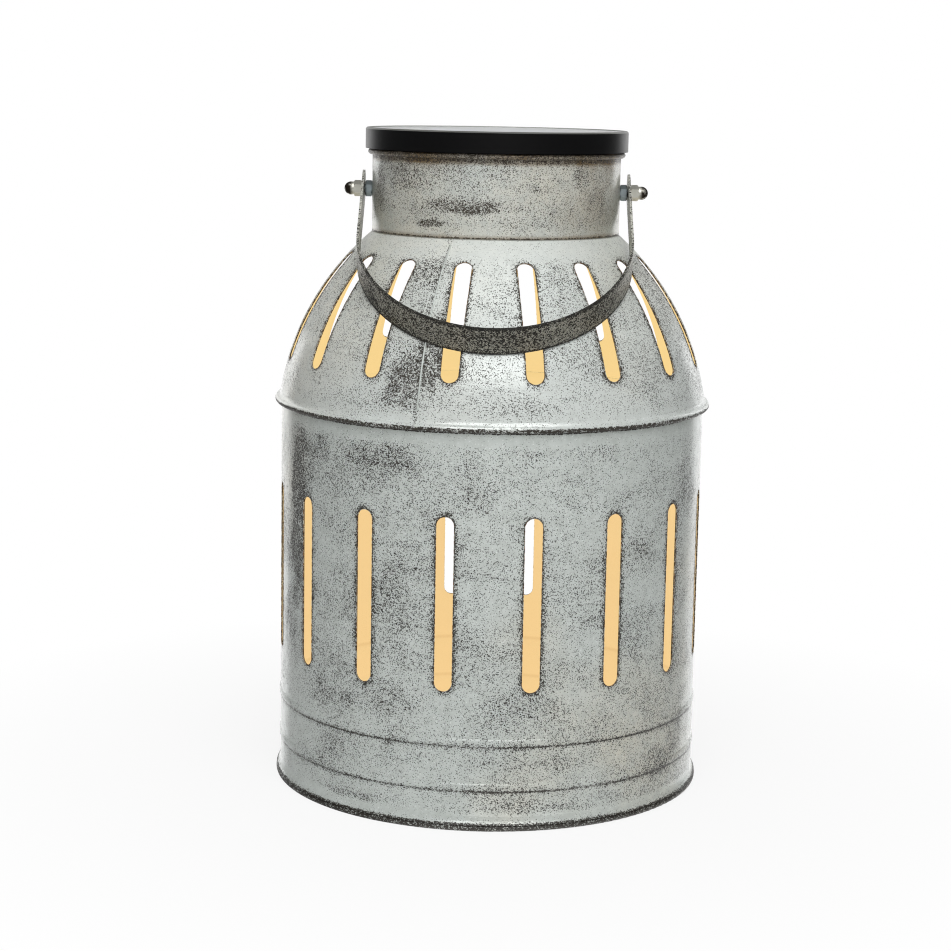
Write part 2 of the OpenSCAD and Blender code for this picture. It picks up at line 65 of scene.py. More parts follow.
# %% [markdown]
# ## A small kit for node arithmetic
# A finish is mostly arithmetic: distances, masks and mixes. So is a shape that
# repeats. Wiring that by hand takes pages of node links, so a socket is wrapped
# in a class whose operators add the Math nodes. Colours never go through Math
# nodes, which would turn them grey; they are mixed by `blend`. Every other node,
# in a shader or in Geometry Nodes, comes from one method.
# %% The socket class
class Wire:
    """A number socket in a node tree that can be used in Python expressions."""

    def __init__(self, kit, socket):
        self.kit = kit
        self.socket = socket

    def math(self, operation, *others):
        names = ["Value", "Value_001", "Value_002"]
        return self.kit.node("ShaderNodeMath", {"operation": operation}, dict(zip(names, others)))

    def __add__(self, other):
        return self.math("ADD", self, other)

    def __sub__(self, other):
        return self.math("SUBTRACT", self, other)

    def __rsub__(self, other):
        return self.math("SUBTRACT", other, self)

    def __mul__(self, other):
        return self.math("MULTIPLY", self, other)

    def __truediv__(self, other):
        return self.math("DIVIDE", self, other)

    def __pow__(self, other):
        return self.math("POWER", self, other)

    __radd__ = __add__
    __rmul__ = __mul__

    def __abs__(self):
        return self.only("ABSOLUTE")

    def only(self, operation):
        """A function of this number alone, such as its sine or its whole part."""
        return self.math(operation, self)

    def most(self, other):
        return self.math("MAXIMUM", self, other)

    def least(self, other):
        return self.math("MINIMUM", self, other)

    def rise(self, low, high):
        """0 below low, 1 above high, smooth between; low may be above high."""
        return self.kit.node("ShaderNodeMapRange", {"interpolation_type": "SMOOTHSTEP"},
                             {"Value": self, "From Min": low, "From Max": high})


# %% The tree class
class Kit:
    """A node tree in the making."""

    def __init__(self, tree):
        self.tree = tree

    def node(self, kind, settings, sockets, out=0):
        """Adds one node and returns one of its outputs, wrapped."""
        made = self.tree.nodes.new(kind)
        for name, value in settings.items():
            setattr(made, name, value)
        for name, value in sockets.items():
            socket = next(s for s in made.inputs if name in (s.identifier, s.name))
            if isinstance(value, Wire):
                self.tree.links.new(value.socket, socket)
            else:
                socket.default_value = value
        return Wire(self, made.outputs[out])

    def axes(self, vector):
        """The X, Y and Z of a vector."""
        split = self.node("ShaderNodeSeparateXYZ", {}, {"Vector": vector}).socket.node
        return [Wire(self, socket) for socket in split.outputs]

    def noise(self, scale, detail=2.0, roughness=0.5, stretch=(1, 1, 1), distortion=0.0):
        """3D noise from 0 to 1; stretch multiplies the coordinates."""
        place = self.place
        if stretch != (1, 1, 1):
            place = self.node("ShaderNodeMapping", {}, {"Vector": place, "Scale": stretch})
        sockets = {"Vector": place, "Scale": scale, "Detail": detail,
                   "Roughness": roughness, "Distortion": distortion}
        return self.node("ShaderNodeTexNoise", {}, sockets)


print("node kit ready")


# %% [markdown]
# A finish is a material with its Principled shader and its own coordinates. Its
# colours are written as they would be picked, in 8-bit sRGB.
# %% The finish class
class Finish(Kit):
    """A material in the making: its node tree, its shader and its coordinates."""

    def __init__(self, name, **constants):
        self.material = bpy.data.materials.new(name)
        self.material.use_nodes = True
        super().__init__(self.material.node_tree)
        self.tree.nodes.clear()
        self.shader = self.tree.nodes.new("ShaderNodeBsdfPrincipled")
        self.output = self.tree.nodes.new("ShaderNodeOutputMaterial")
        self.tree.links.new(self.shader.outputs[0], self.output.inputs[0])
        for socket, value in constants.items():
            self.shader.inputs[socket.replace("_", " ")].default_value = value
        self.place = self.node("ShaderNodeTexCoord", {}, {}, "Object")
        self.x, self.y, self.z = self.axes(self.place)

    def blend(self, a, b, factor):
        """A mix of two colours; each is a wrapped socket or an (r, g, b)."""
        colours = [c if isinstance(c, Wire) else (*c, 1) for c in (a, b)]
        sockets = {"Factor_Float": factor, "A_Color": colours[0], "B_Color": colours[1]}
        settings = {"data_type": "RGBA", "clamp_factor": True}
        return self.node("ShaderNodeMix", settings, sockets, 2)

    def feed(self, **links):
        """Links wrapped sockets to the shader's inputs, by name."""
        for name, wire in links.items():
            self.tree.links.new(wire.socket, self.shader.inputs[name.replace("_", " ")])

    def bump(self, height, distance):
        """Relief in the shading; a height of 1 stands for the distance."""
        sockets = {"Height": height, "Distance": distance, "Strength": 1.0}
        self.feed(Normal=self.node("ShaderNodeBump", {}, sockets))

    def glow(self, strength):
        """How brightly the emission colour shines."""
        self.shader.inputs["Emission Strength"].default_value = strength


def srgb(red, green, blue):
    """The linear colour of an 8-bit sRGB one."""
    return tuple(((c / 255 + 0.055) / 1.055) ** 2.4 if c > 10 else c / 3294.6
                 for c in (red, green, blue))


def dress(node, finish):
    """Puts the finish on a CAD node; its mesh stays as it is."""
    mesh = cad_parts[node].data
    mesh.materials.clear()
    mesh.materials.append(finish.material)


print("finish class ready")

# %% [markdown]
# ## Distressed zinc
# The churn is painted a pale blue-grey, then a nearly black wash is sponged over
# it and rubbed off. What stays is a peppering of hard flecks, dense in some
# patches and thin in others, with nearly solid lines where the rag can't reach:
# along cut edges, under the ridges and round the bead. The solid line just under
# the bead is painted shadow, and the bead's dark lower half is partly wash and
# partly painted shade. Smooth noise gives worms rather than flecks, so each fleck
# here is one cell of a Voronoi pattern. A cell is dark where its own chance is
# below the cover, and the cover is what varies.
# %% Colours of the churn
paint_colour = srgb(197, 203, 199)
paint_warm = srgb(203, 200, 186)
paint_grey = srgb(175, 180, 175)
salt_colour = srgb(236, 240, 237)
wash_colour = srgb(20, 18, 15)
haze_colour = srgb(64, 50, 30)
rust_and_shade_colour = srgb(122, 100, 66)
gold_colour = srgb(249, 224, 166)
gold_bright = srgb(255, 233, 166)
lining_colour = srgb(150, 120, 78)
print("the wash reflects", round(wash_colour[0] / paint_colour[0], 3), "of what the paint does")

# %% [markdown]
# Masks say where things are. A fleck is a Voronoi cell, a smudge is an ellipse
# on the rolled-out sheet with a ragged outline, and the polar coordinates let
# everything follow the round body.
# %% Flecks, smudges and directions
fleck_scale = 2150
line_fleck_scale = 1400
salt_scale = 1300


def flecks(finish, scale, cover):
    """Hard-edged flecks, one for each Voronoi cell whose own chance is below the cover.

    A cell's middle counts for more than its rim, so that a fleck is round, not angular."""
    cells = finish.node("ShaderNodeTexVoronoi", {}, {"Vector": finish.place, "Scale": scale},
                        "Color")
    chance = finish.node("ShaderNodeSeparateColor", {}, {"Color": cells})
    middle = Wire(finish, cells.socket.node.outputs["Distance"])
    return (cover - chance - (middle - 0.36) * 0.5).rise(0.0, 0.08)


def smudge(finish, angle_deg, height, width, tall):
    """A soft elliptical patch on the churn, at an angle from the front and a height in mm."""
    turned = (finish.angle - math.radians(angle_deg)) * finish.radius
    across = (turned + finish.warp) / (width * MM / 2)
    up = (finish.z + finish.warp * 0.4 - height * MM) / (tall * MM / 2)
    return (across ** 2 + up ** 2).rise(1.4, 0.0)


def add_polar(finish):
    """Radius, angle from the front, and how far the surface faces out and up."""
    finish.radius = (finish.x * finish.x + finish.y * finish.y) ** 0.5
    finish.angle = finish.x.math("ARCTAN2", finish.x, 0 - finish.y)
    facing = finish.node("ShaderNodeTexCoord", {}, {}, "Normal")
    east, north, finish.facing_up = finish.axes(facing)
    finish.facing_out = (east * finish.x + north * finish.y) / finish.radius


def near(distance, width):
    """1 at zero distance, falling to 0 at the width."""
    return abs(distance).rise(width, 0.0)


print("a fleck is about", round(1 / fleck_scale / MM, 2), "mm across")

# %% [markdown]
# The finish comes in layers, as on the real sheet. First it is worked out how
# much of the wash stays at each spot. Then come the paint under it, with drifts
# of cream and darker grey, and last the lining. Inside the churn light bounces
# from gold to gold until every slot shows the same warm tone; a share of
# emission on the lining stands for those many bounces.
# %% The cover of the wash
thin_cover = 0.17
full_cover = 0.8
stain_share = 0.22
smudge_share = 0.3
dust_share = 0.5
fine_dark, coarse_dark = 0.9, 0.98


def peppering(finish, wear, smudges, fineness):
    """Clouds, black lines, the cover of the wash, and where its flecks make it dark.

    wear(finish) gives the black lines, the dust beside them and the places that the rag
    wiped clean. A smudge is an angle from the front, a height, a width, a length and a
    strength. fineness is the scale of the flecks."""
    finish.warp = (finish.noise(45, 3, 0.6) - 0.5) * 16 * MM
    clouds = finish.noise(26, 4, 0.62, stretch=(1, 1, 1.7), distortion=0.5)
    drifts = finish.noise(9, 2, 0.5)
    lines, dust, clean = wear(finish)
    stains = (clouds * 0.7 + drifts * 0.3).rise(0.38, 0.66) * stain_share
    breakup = clouds.rise(0.25, 0.65) * 0.7 + 0.3
    for *patch, strength in smudges:
        stains = stains + smudge(finish, *patch) * breakup * (strength * smudge_share)
    cover = ((thin_cover + stains) * (1 - clean) + dust * dust_share).least(full_cover)
    fine = flecks(finish, fineness, cover) * fine_dark
    coarse = flecks(finish, fineness * 0.6, (cover - 0.15) * 0.75) * coarse_dark
    line = flecks(finish, line_fleck_scale, lines * 1.1) * coarse_dark
    return clouds, lines, cover, fine.most(coarse).most(line)


print("at least", thin_cover, "and at most", full_cover, "of the flecks stay")


# %% Paint and lining
def weathered_paint(finish, mottle, warmth, light, rust_and_shade):
    """Pale grey with drifts of cream, darker mottling, light flecks and, if asked, rust and painted
    shade.
    """
    cream = finish.noise(7, 3, 0.5).rise(0.62 - warmth * 0.5, 0.8 - warmth * 0.3)
    paint = finish.blend(paint_colour, paint_warm, cream)
    paint = finish.blend(paint, paint_grey, mottle * 0.6)
    paint = finish.blend(paint, salt_colour, light)
    if rust_and_shade:
        paint = finish.blend(paint, rust_and_shade_colour, rust_and_shade(finish))
    return finish.blend(paint, salt_colour, flecks(finish, salt_scale, 0.12) * 0.4)


def lit_lining(finish, clouds, crease_shade):
    """The gold's glow as it shines through the slots, brighter above, with painted shade in its
    faint folds.
    """
    fold_shade = crease_shade(finish) if crease_shade else 0.0
    gold = finish.blend(gold_colour, gold_bright, finish.z.rise(0.12, 0.24))
    return finish.blend(gold, lining_colour, fold_shade * 0.18 + clouds * 0.1 - 0.05)


print("paint and lining ready")

# %% The zinc finish
lining_glow = 0.66


def zinc(name, inside, wear, smudges=(), warmth=0.25, light=0.0, fineness=fleck_scale,
         rust_and_shade=None, crease_shade=None, scuff=None):
    """The churn's finish; inside(finish) masks the gold lining.

    wear, smudges and fineness are peppering's. warmth is the share of cream in the paint
    and light says how far the paint is lightened towards pale; on the shoulder that is
    painted light, as its upper face is lit from above. rust_and_shade, crease_shade and
    scuff are masks: rust on the paint, with painted shade under the neck's rim; painted
    shade in the lining's folds; and paint that has been rubbed dull."""
    finish = Finish(name, IOR=1.5)
    add_polar(finish)
    clouds, lines, cover, dark = peppering(finish, wear, smudges, fineness)
    mottle = finish.noise(160, 3, 0.7).rise(0.3, 0.75)
    paint = weathered_paint(finish, mottle, warmth, light, rust_and_shade)
    haze = (cover * 0.12 + lines * 0.35 - 0.03).least(0.85)
    wash = tuple(a + (b - a) * warmth * 0.6 for a, b in zip(wash_colour, haze_colour))
    painted = finish.blend(finish.blend(paint, haze_colour, haze), wash, dark)
    lined = inside(finish)
    dull = scuff(finish) * 0.3 if scuff else 0.0
    finish.feed(Base_Color=finish.blend(painted, lining_colour, lined))
    finish.feed(Metallic=0.12 * (1 - dark) * (1 - lined))
    finish.feed(Roughness=0.19 + dark * 0.35 + lined * 0.4 + mottle * 0.06 + dull)
    finish.feed(Emission_Color=finish.blend((0, 0, 0), lit_lining(finish, clouds, crease_shade), lined))
    finish.glow(lining_glow)
    grain = finish.noise(900, 2, 0.6)
    waves = finish.noise(17, 2, 0.5)
    finish.bump(waves * 0.22 + grain * 0.02 - dark * 0.03, MM)
    return finish


print("zinc finish ready; the lining glows with", lining_glow)


# %% [markdown]
# The same slot repeats round the churn, so the angle is folded into one pitch
# and a single slot stands for all of them. Its outline is a straight line with
# a round end at each side, which makes the distance to it a short sum.
# %% Where the slots lie
def slot_distance(finish, along, length):
    """Distance from the nearest slot's edge; along is how far the spot is from its middle."""
    turned = finish.angle / slot_pitch
    nearest = turned.only("FLOOR") + 0.5
    across = (turned - nearest) * slot_pitch * finish.radius
    beyond = (abs(along) - (length - slot_w) / 2).most(0.0)
    return (across * across + beyond * beyond) ** 0.5 - slot_w / 2


def cut_edge(finish, distance):
    """The black line along a punched edge and the dust that gathers beside it."""
    ragged = finish.noise(700, 2, 0.6) * 1.2 * MM
    uneven = finish.noise(55, 2, 0.6).rise(0.3, 0.7)
    line = (distance - ragged * 0.6).rise(0.3 * MM, 0.0) * 0.55
    dust = distance.rise(4 * MM, 0.0) * (0.3 + uneven * 0.7) + distance.rise(1.4 * MM, 0.0) * 0.5
    return line, dust


print("slots are", round(math.degrees(slot_pitch), 1), "degrees apart")

# %% [markdown]
# Each sheet-metal piece has its own copy of the finish, because the wear follows
# its own shape: the slots' cut edges, the undersides of the ridges, the curl of
# the bead and the foot. The gold lining is sprayed on the inner face only, and
# the way a face points tells the two apart. A list of smudges places the stains:
# angle from the front in degrees, height, width and length in mm, and strength.
# %% The drum
def drum_inside(finish):
    wall = finish.facing_out.rise(-0.4, -0.6)
    flange_top = finish.facing_up.rise(0.4, 0.6) * finish.z.rise(seam_z, seam_z + 0.2 * MM)
    return wall.most(flange_top)


def drum_wear(finish):
    slots = slot_distance(finish, finish.z - slot_low - slot_len / 2, slot_len)
    line, dust = cut_edge(finish, slots)
    shake = (finish.noise(300, 2, 0.6) - 0.5) * 2.2 * MM
    heavy = finish.noise(14, 2, 0.6).rise(0.35, 0.6)
    for height in ridge_heights:
        under = finish.z - height + 2.0 * MM + shake * 0.5
        line = line.most(near(under, 1.2 * MM) * (0.5 + heavy * 0.4))
        dust = dust + near(under, 3.5 * MM) * 0.4
    foot = (finish.z + shake * 0.5).rise(5.0 * MM, 4.0 * MM)
    # Painted shadow: a near-solid dark line on the drum just under the bead.
    shade = (finish.z + shake * 0.4).rise(seam_z - 3.2 * MM, seam_z - 2.3 * MM)
    wiped = finish.z.rise(seam_z - 13 * MM, seam_z - 7 * MM) * 0.7
    wiped = wiped.most(near(finish.z - 7.5 * MM, 4 * MM) * 0.7)
    return line.most(foot * 0.8).most(shade), dust + foot * 0.3, wiped


def drum_crease_shade(finish):
    """Painted shade in the lining where the ridges press it inwards into folds."""
    low, high = ridge_heights
    return near(finish.z - low, 2 * MM) + near(finish.z - high, 2 * MM)


# The tall narrow smudges 60 to 66 degrees left of the front are partly wash and partly a painted
# dark reflection down the drum's left side.
drum_smudges_and_dark_reflection = [(-60, 188, 32, 66, 1.1), (-62, 177, 20, 144, 2.6), (-66, 110, 26, 150, 0.5),
                (-52, 206, 40, 26, 0.7), (-28, 203, 56, 24, 0.6), (-6, 198, 20, 34, 0.6),
                (20, 209, 40, 12, 0.4), (-26, 117, 34, 60, 0.5), (-19, 157.5, 80, 5, 0.5),
                (-5, 142, 50, 4, 0.4), (-45, 62, 40, 24, 0.5), (-27, 68, 34, 20, 0.4),
                (11, 67, 50, 22, 0.2), (-40, 37, 60, 18, 0.6), (14, 37, 60, 10, 0.5),
                (-39, 11, 44, 9, 1.2), (18, 14, 90, 12, 0.35), (59, 125, 24, 110, 0.8),
                (62, 40, 22, 26, 0.7), (44, 151, 30, 30, 0.5), (66, 190, 30, 70, 0.5),
                (150, 120, 90, 120, 0.5), (-140, 180, 70, 60, 0.6), (120, 60, 80, 30, 0.5),
                (-36, 125, 140, 200, 0.35), (-55, 24, 36, 24, 0.9), (52, 26, 40, 20, 0.8)]
zinc_drum = zinc("zinc_drum", drum_inside, drum_wear, drum_smudges_and_dark_reflection, 0.25, crease_shade=drum_crease_shade)
dress("body_drum", zinc_drum)
print("drum dressed with", len(drum_smudges_and_dark_reflection), "patches")

# %% [markdown]
# The shoulder's slots lie on an arc, so distances along them are measured by
# the angle round the arc's centre. Its lower edge curls round the drum's
# flange: the curl's inner face is lined as well, and its glow is painted light
# that fills the shade of the gap at the seam. The wash collects in the curl;
# the bead's dark lower half is partly that wash and partly painted shade.
# %% The shoulder
arc_start = math.asin((seam_z + shoulder_slot_low - arc_centre[1]) / arc_r)
slot_middle = arc_start + math.asin(shoulder_slot_len / 2 / arc_r)


def shoulder_inside(finish):
    inner = (finish.facing_out + finish.facing_up).rise(-0.4, -0.6)
    above = finish.z.rise(seam_z + 0.4 * MM, seam_z + 0.9 * MM)
    below = finish.radius.rise(drum_r + 0.4 * MM, drum_r + 0.2 * MM)
    curl = finish.z.rise(seam_z + 3 * MM, seam_z + 2.4 * MM)
    curl = curl * finish.z.rise(seam_z + 0.4 * MM, seam_z + 0.8 * MM)
    # Painted light: the curl's inner face is lined, so it glows and the gap at the seam shows no
    # shade.
    in_curl = finish.facing_out.rise(-0.2, -0.4) * curl
    return (inner * above.most(below)).most(in_curl)


def shoulder_wear(finish):
    out = finish.radius - arc_centre[0]
    up = finish.z - arc_centre[1]
    tilt = out.math("ARCTAN2", up, out) - slot_middle
    slots = slot_distance(finish, tilt.only("SINE") * arc_r, shoulder_slot_len)
    line, dust = cut_edge(finish, slots)
    shake = (finish.noise(400, 2, 0.7) - 0.5) * 2.4 * MM
    heavy = finish.noise(12, 2, 0.6).rise(0.3, 0.6)
    # The bead's dark lower half: partly wash and partly painted shade.
    bead = (finish.z + shake * 0.7).rise(seam_z + 1.0 * MM, seam_z + 0.1 * MM)
    beside_seam = (finish.angle - shoulder_seam) * finish.radius
    seam_dust = beside_seam.rise(-4 * MM, 0.0) * beside_seam.rise(0.4 * MM, 0.0)
    wiped = finish.z.rise(seam_z + 10 * MM, seam_z + 4 * MM) * 0.4
    top = finish.z.rise(neck_z - 14 * MM, neck_z - 8 * MM) * 0.6
    return line.most(bead * (0.7 + heavy * 0.3)), dust + seam_dust * 0.5, wiped.most(top)


def shoulder_scuff(finish):
    """The strap rubs the upper shoulder dull where it swings."""
    return finish.z.rise(seam_z + 30 * MM, seam_z + 48 * MM)


shoulder_smudges = [(-22, 243, 30, 34, 2.2), (-16, 263, 20, 40, 0.9), (-23, 297, 30, 34, 0.8),
                    (-51, 246, 40, 26, 0.3), (-34, 238, 50, 20, 0.15), (70, 294, 24, 34, 0.6),
                    (44, 240, 34, 16, 0.1), (22, 290, 16, 40, 0.3), (4, 282, 20, 40, 0.4),
                    (-84, 260, 30, 60, 0.4), (150, 250, 60, 50, 0.7), (-130, 290, 50, 40, 0.6)]
# The shoulder's paint is lightened by 0.33 towards pale: painted light, as its upper face is lit
# from above.
zinc_shoulder = zinc("zinc_shoulder", shoulder_inside, shoulder_wear, shoulder_smudges, 0.4, 0.33,
                     scuff=shoulder_scuff)
dress("shoulder_dome", zinc_shoulder)
print("shoulder dressed with", len(shoulder_smudges), "patches")

# %% [markdown]
# The neck is the oldest-looking part. Water stands under its rolled rim and
# round its foot, so that there is some rust, and the rag left two dark streaks.
# Under the rim the rust and the dark line are also painted shade from the cap
# above.
# %% The neck
def neck_inside(finish):
    return finish.facing_out.rise(-0.4, -0.6) * finish.z.rise(neck_z + 43 * MM, neck_z + 42 * MM)


def neck_wear(finish):
    shake = (finish.noise(260, 2, 0.6) - 0.5) * 1.2 * MM
    foot = (finish.z - neck_z + shake).rise(1.1 * MM, 0.5 * MM)
    # The dark band under the rolled rim is partly wash and partly painted shade from the cap above.
    rim = (finish.z - neck_z + shake).rise(40 * MM, 42 * MM)
    dust = finish.noise(22, 3, 0.6).rise(0.4, 0.65) * 0.16 + rim * 0.5
    wiped = finish.z.rise(neck_z + 8 * MM, neck_z + 3 * MM) * 0.5
    return foot * 0.7 + rim * 0.35, dust, wiped


def neck_rust_and_rim_shade(finish):
    drift = finish.noise(30, 3, 0.6).rise(0.35, 0.65)
    right = smudge(finish, 48, 342, 60, 60) * 0.3
    # under_rim and roll are partly rust and partly painted shade from the cap above.
    under_rim = finish.z.rise(neck_z + 34 * MM, neck_z + 42 * MM) * 0.45
    foot = (finish.z - neck_z).rise(3 * MM, 0.5 * MM) * 0.5
    roll = finish.z.rise(neck_z + 39 * MM, neck_z + 41 * MM) * 0.5
    return (right + under_rim) * drift + foot + roll


# The smudges about 60 degrees either side of the front are partly wash and partly a painted dark
# reflection down the neck's sides.
neck_smudges_and_dark_reflection = [(-33, 335.5, 40, 10, 1.3), (-16, 336, 46, 10, 0.9), (2, 336, 44, 7, 0.9),
                (-30, 326.5, 17, 4, 2.8), (-42, 352, 36, 22, 0.8), (-10, 334, 26, 4, 0.8),
                (19, 348, 26, 9, 0.7), (40, 351, 14, 14, 1.0), (-60, 344, 30, 34, 1.1),
                (51, 336, 20, 16, 0.4), (62, 342, 16, 36, 0.1), (0, 352, 60, 14, 0.15),
                (160, 340, 60, 20, 0.8), (-140, 335, 50, 16, 0.7)]
zinc_neck = zinc("zinc_neck", neck_inside, neck_wear, neck_smudges_and_dark_reflection, 0.6, 0.1, 2400, neck_rust_and_rim_shade)
dress("neck_collar", zinc_neck)
print("neck dressed with", len(neck_smudges_and_dark_reflection), "patches")

# %% [markdown]
# Of the base plate only the curled rim shows outside. Its floor inside the drum
# is lined like the walls.
# %% The base plate
base_lined = 6.2 * MM


def base_inside(finish):
    return finish.facing_up.rise(0.3, 0.6) * finish.z.rise(base_lined, base_lined + 0.3 * MM)


def base_wear(finish):
    shake = (finish.noise(260, 2, 0.6) - 0.5) * 1.0 * MM
    low = (finish.z + shake).rise(4.6 * MM, 3.6 * MM) * finish.facing_out.rise(-0.2, 0.2)
    return low * 0.8, low * 0.4, low * 0.0


zinc_base = zinc("zinc_base", base_inside, base_wear)
dress("base_plate", zinc_base)
print("base dressed, lined above", round(base_lined / MM, 1), "mm")

# %% [markdown]
# ## Burrs and weld seams
# A punch leaves a ragged lip round each slot, and the wash collects on it. It
# could be painted on, but then it would vanish from the side. Here Geometry
# Nodes grow it: a rectangle is rounded into the slot's outline, bent onto the
# sheet, given a thin round section and set sixteen times round the churn. The
# lip is then roughened along its own normals, so that no two slots are alike.
# %% The geometry class
class Shape(Kit):
    """A Geometry Nodes tree with named inputs that grows one plain mesh."""

    def __init__(self, name, **inputs):
        super().__init__(bpy.data.node_groups.new(name, "GeometryNodeTree"))
        self.name = name
        self.inputs = {label.replace("_", " "): value for label, value in inputs.items()}
        for label, value in self.inputs.items():
            kind = "NodeSocketInt" if isinstance(value, int) else "NodeSocketFloat"
            self.tree.interface.new_socket(label, in_out="INPUT", socket_type=kind)
        self.tree.interface.new_socket("Mesh", in_out="OUTPUT", socket_type="NodeSocketGeometry")
        self.start = self.tree.nodes.new("NodeGroupInput")
        self.end = self.tree.nodes.new("NodeGroupOutput")
        self.place = self.node("GeometryNodeInputPosition", {}, {})

    def size(self, label):
        """One of the tree's named inputs."""
        return Wire(self, self.start.outputs[label])

    def point(self, x, y, z):
        return self.node("ShaderNodeCombineXYZ", {}, {"X": x, "Y": y, "Z": z})

    def roughen(self, geometry, scale, amount):
        """Moves the surface in and out along its normals by noise."""
        normal = self.node("GeometryNodeInputNormal", {}, {})
        push = (self.noise(scale, 2, 0.7) - 0.5) * amount
        offset = self.node("ShaderNodeVectorMath", {"operation": "SCALE"},
                           {"Vector": normal, "Scale": push})
        return self.node("GeometryNodeSetPosition", {}, {"Geometry": geometry, "Offset": offset})

    def grow(self, geometry, finish, body, slot):
        """Ends the tree, runs it and gives the mesh to a body."""
        painted = self.node("GeometryNodeSetMaterial", {},
                            {"Geometry": geometry, "Material": finish.material})
        self.tree.links.new(painted.socket, self.end.inputs["Mesh"])
        seed = bpy.data.objects.new(self.name + "_tree", bpy.data.meshes.new(self.name + "_tree"))
        bpy.context.scene.collection.objects.link(seed)
        modifier = seed.modifiers.new("grow", "NODES")
        modifier.node_group = self.tree
        for item in self.tree.interface.items_tree:
            if item.in_out == "INPUT":
                modifier[item.identifier] = self.inputs[item.name]
        whole = seed.evaluated_get(bpy.context.evaluated_depsgraph_get())
        mesh = bpy.data.meshes.new_from_object(whole)
        bpy.data.objects.remove(seed)
        mesh.name = self.name
        piece = bpy.data.objects.new(self.name, mesh)
        bpy.context.scene.collection.objects.link(piece)
        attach(piece, body)
        print(self.name, "has", sum(len(p.vertices) - 2 for p in mesh.polygons), "triangles")


print("geometry class ready")


# %% Finish of the cut edges
def edge_finish():
    finish = Finish("cut_edge", IOR=1.5)
    patches = finish.noise(420, 3, 0.7)
    brown = finish.blend(srgb(40, 30, 20), srgb(128, 92, 52), patches.rise(0.4, 0.5))
    finish.feed(Base_Color=finish.blend(brown, srgb(182, 182, 172), patches.rise(0.5, 0.56)))
    finish.feed(Roughness=0.5 + patches * 0.3)
    finish.bump(finish.noise(1500, 2, 0.6), 0.05 * MM)
    return finish


cut_edge_finish = edge_finish()
print("cut edges finished as", cut_edge_finish.material.name)


# %% Slot burrs
burr_r = 0.17 * MM
burr_step = 0.9 * MM
burr_sides = 5
end_segments = 9


def slot_burrs(name, length, lay):
    """lay(shape, across, along) bends the flat outline onto the sheet at the front."""
    shape = Shape(name, Slots=slot_count, Slot_width=slot_w, Slot_length=length, Lip=burr_r,
                  Raggedness=0.6 * MM)
    width = shape.size("Slot width")
    outline = shape.node("GeometryNodeCurvePrimitiveQuadrilateral", {},
                         {"Width": width, "Height": shape.size("Slot length")})
    rounded = shape.node("GeometryNodeFilletCurve", {"mode": "POLY"},
                         {"Curve": outline, "Count": end_segments, "Radius": width * 0.499})
    stepped = shape.node("GeometryNodeResampleCurve", {"mode": "LENGTH"},
                         {"Curve": rounded, "Length": burr_step})
    across, along, _ = shape.axes(shape.place)
    bent = shape.node("GeometryNodeSetPosition", {},
                      {"Geometry": stepped, "Position": lay(shape, across, along)})
    section = shape.node("GeometryNodeCurvePrimitiveCircle", {},
                         {"Resolution": burr_sides, "Radius": shape.size("Lip")})
    lip = shape.node("GeometryNodeCurveToMesh", {}, {"Curve": bent, "Profile Curve": section})
    stack = shape.node("GeometryNodeMeshLine", {},
                       {"Count": shape.size("Slots"), "Offset": (0, 0, 0)})
    index = shape.node("GeometryNodeInputIndex", {}, {})
    angle = (index + 0.5) * (2 * math.pi) / shape.size("Slots")
    ring = shape.node("GeometryNodeInstanceOnPoints", {},
                      {"Points": stack, "Instance": lip, "Rotation": shape.point(0, 0, angle)})
    real = shape.node("GeometryNodeRealizeInstances", {}, {"Geometry": ring})
    rough = shape.roughen(real, 1300, shape.size("Raggedness"))
    shape.grow(rough, cut_edge_finish, "churn", "zinc")


bend_across = 0.19


def onto_drum(shape, across, along):
    depth = (drum_r ** 2 - across * across) ** 0.5
    return shape.point(across, 0 - depth, along + (slot_low + slot_len / 2))


def onto_shoulder(shape, across, along):
    """The sheet bends along the slot with the arc, and a little across it with the churn."""
    lean, rise = math.cos(slot_middle), math.sin(slot_middle)
    depth = (arc_r ** 2 - along * along) ** 0.5 - across * across * (lean / bend_across)
    out = depth * lean - along * rise + arc_centre[0]
    return shape.point(across, 0 - out, depth * rise + along * lean + arc_centre[1])


slot_burrs("drum_slot_burrs", slot_len, onto_drum)
slot_burrs("shoulder_slot_burrs", shoulder_slot_len, onto_shoulder)

# %% [markdown]
# Each of the three round pieces is a strip that is bent round and welded, so it
# has one seam. The drum's and the neck's are at the back; the shoulder's shows
# at the front, left of the middle. A seam follows the sheet's own profile, so
# the tree lays a straight line on it and gives it a low, uneven section.
# %% Weld seams
weld_h = 0.5 * MM
weld_steps = 90
weld_sides = 8


